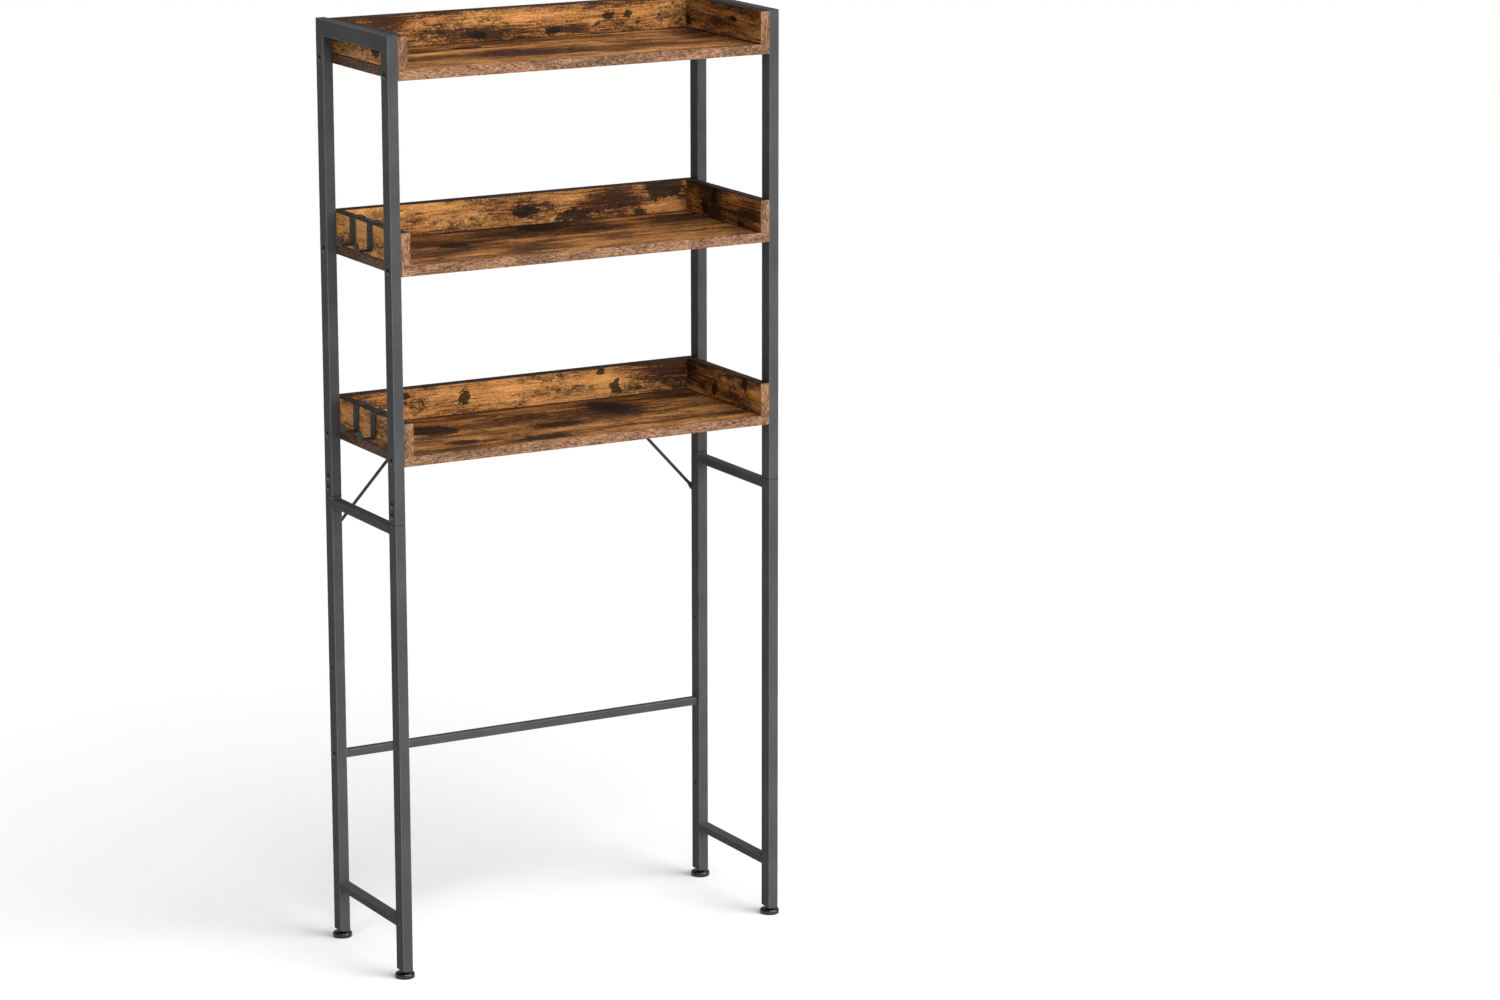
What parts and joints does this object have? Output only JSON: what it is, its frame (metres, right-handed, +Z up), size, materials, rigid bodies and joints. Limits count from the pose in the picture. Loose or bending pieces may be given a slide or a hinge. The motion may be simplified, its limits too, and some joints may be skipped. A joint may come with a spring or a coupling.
{
  "type": "over-the-toilet storage rack",
  "caption": "Tall open rack on a black steel tube frame with wooden trays, a rear bar, knee braces, screw feet and over-board hooks, to stand over a toilet.",
  "frame": {"origin": "on the floor, under the middle of the whole outline", "axes": "+X along the width, to the right seen from the front; +Y towards the wall; +Z up"},
  "size_m": [0.7968, 0.309, 1.71],
  "materials": {
    "frame_coat": "satin charcoal powder coat",
    "board_wood": "rustic brown wood-effect board, satin",
    "hook_coat": "matte black powder coat with fine texture",
    "pad_plastic": "glossy black moulded plastic",
    "plug_plastic": "matte black moulded plastic",
    "zinc_steel": "bright zinc plate",
    "bolt_black": "semi-gloss black oxide"
  },
  "bodies": {
    "frame": {"left_front_post": "frame_coat", "left_front_leg": "frame_coat", "left_front_splice_insert": "zinc_steel", "left_front_leg_plug": "plug_plastic", "left_rear_post": "frame_coat", "left_rear_leg": "frame_coat", "left_rear_splice_insert": "zinc_steel", "left_rear_leg_plug": "plug_plastic", "right_front_post": "frame_coat", "right_front_leg": "frame_coat", "right_front_splice_insert": "zinc_steel", "right_front_leg_plug": "plug_plastic", "right_rear_post": "frame_coat", "right_rear_leg": "frame_coat", "right_rear_splice_insert": "zinc_steel", "right_rear_leg_plug": "plug_plastic", "left_top_rail": "frame_coat", "left_upper_cross_rail": "frame_coat", "left_lower_cross_rail": "frame_coat", "left_knee_brace": "frame_coat", "right_top_rail": "frame_coat", "right_upper_cross_rail": "frame_coat", "right_lower_cross_rail": "frame_coat", "right_knee_brace": "frame_coat", "low_tray_bottom": "board_wood", "low_tray_back": "board_wood", "low_tray_left_side": "board_wood", "low_tray_right_side": "board_wood", "mid_tray_bottom": "board_wood", "mid_tray_back": "board_wood", "mid_tray_left_side": "board_wood", "mid_tray_right_side": "board_wood", "top_tray_bottom": "board_wood", "top_tray_back": "board_wood", "top_tray_left_side": "board_wood", "top_tray_right_side": "board_wood", "rear_bar": "frame_coat", "bar_end_plugs": "plug_plastic", "tray_bolts": "bolt_black", "tray_inserts": "zinc_steel", "splice_bolts": "bolt_black", "splice_nuts": "zinc_steel", "bar_bolts": "bolt_black", "brace_screws": "bolt_black", "tray_screws": "zinc_steel"},
    "left_front_stud": {"left_front_foot_stud": "zinc_steel"},
    "left_front_pad": {"left_front_foot_pad": "pad_plastic"},
    "left_rear_stud": {"left_rear_foot_stud": "zinc_steel"},
    "left_rear_pad": {"left_rear_foot_pad": "pad_plastic"},
    "right_front_stud": {"right_front_foot_stud": "zinc_steel"},
    "right_front_pad": {"right_front_foot_pad": "pad_plastic"},
    "right_rear_stud": {"right_rear_foot_stud": "zinc_steel"},
    "right_rear_pad": {"right_rear_foot_pad": "pad_plastic"},
    "low_front_hook": {"low_front_hook": "hook_coat"},
    "low_rear_hook": {"low_rear_hook": "hook_coat"},
    "mid_front_hook": {"mid_front_hook": "hook_coat"},
    "mid_rear_hook": {"mid_rear_hook": "hook_coat"}
  },
  "joints": [
    {"name": "left_front_foot_lift", "type": "slide", "parent": "frame", "child": "left_front_stud", "axis": [0, 0, -1], "range_m": [0, 0.01126]},
    {"name": "left_front_foot_turn", "type": "hinge", "parent": "left_front_stud", "child": "left_front_pad", "pos_m": [-0.37961, -0.1365, 0], "axis": [0, 0, -1], "range_deg": [0, 3240]},
    {"name": "left_rear_foot_lift", "type": "slide", "parent": "frame", "child": "left_rear_stud", "axis": [0, 0, -1], "range_m": [0, 0.01126]},
    {"name": "left_rear_foot_turn", "type": "hinge", "parent": "left_rear_stud", "child": "left_rear_pad", "pos_m": [-0.37961, 0.1335, 0], "axis": [0, 0, -1], "range_deg": [0, 3240]},
    {"name": "right_front_foot_lift", "type": "slide", "parent": "frame", "child": "right_front_stud", "axis": [0, 0, -1], "range_m": [0, 0.01126]},
    {"name": "right_front_foot_turn", "type": "hinge", "parent": "right_front_stud", "child": "right_front_pad", "pos_m": [0.38039, -0.1365, 0], "axis": [0, 0, -1], "range_deg": [0, 3240]},
    {"name": "right_rear_foot_lift", "type": "slide", "parent": "frame", "child": "right_rear_stud", "axis": [0, 0, -1], "range_m": [0, 0.01126]},
    {"name": "right_rear_foot_turn", "type": "hinge", "parent": "right_rear_stud", "child": "right_rear_pad", "pos_m": [0.38039, 0.1335, 0], "axis": [0, 0, -1], "range_deg": [0, 3240]},
    {"name": "low_rear_hook_slide", "type": "slide", "parent": "frame", "child": "low_rear_hook", "axis": [0, 1, 0], "range_m": [-0.025, 0.06]},
    {"name": "low_front_hook_slide", "type": "slide", "parent": "frame", "child": "low_front_hook", "axis": [0, 1, 0], "range_m": [-0.084, 0.025]},
    {"name": "mid_rear_hook_slide", "type": "slide", "parent": "frame", "child": "mid_rear_hook", "axis": [0, 1, 0], "range_m": [-0.025, 0.06]},
    {"name": "mid_front_hook_slide", "type": "slide", "parent": "frame", "child": "mid_front_hook", "axis": [0, 1, 0], "range_m": [-0.084, 0.025]}
  ],
  "couplings": [
    {"joint": "left_front_foot_lift", "follows": "left_front_foot_turn", "m_per_rad": 0.00019894},
    {"joint": "left_rear_foot_lift", "follows": "left_rear_foot_turn", "m_per_rad": 0.00019894},
    {"joint": "right_front_foot_lift", "follows": "right_front_foot_turn", "m_per_rad": 0.00019894},
    {"joint": "right_rear_foot_lift", "follows": "right_rear_foot_turn", "m_per_rad": 0.00019894}
  ]
}
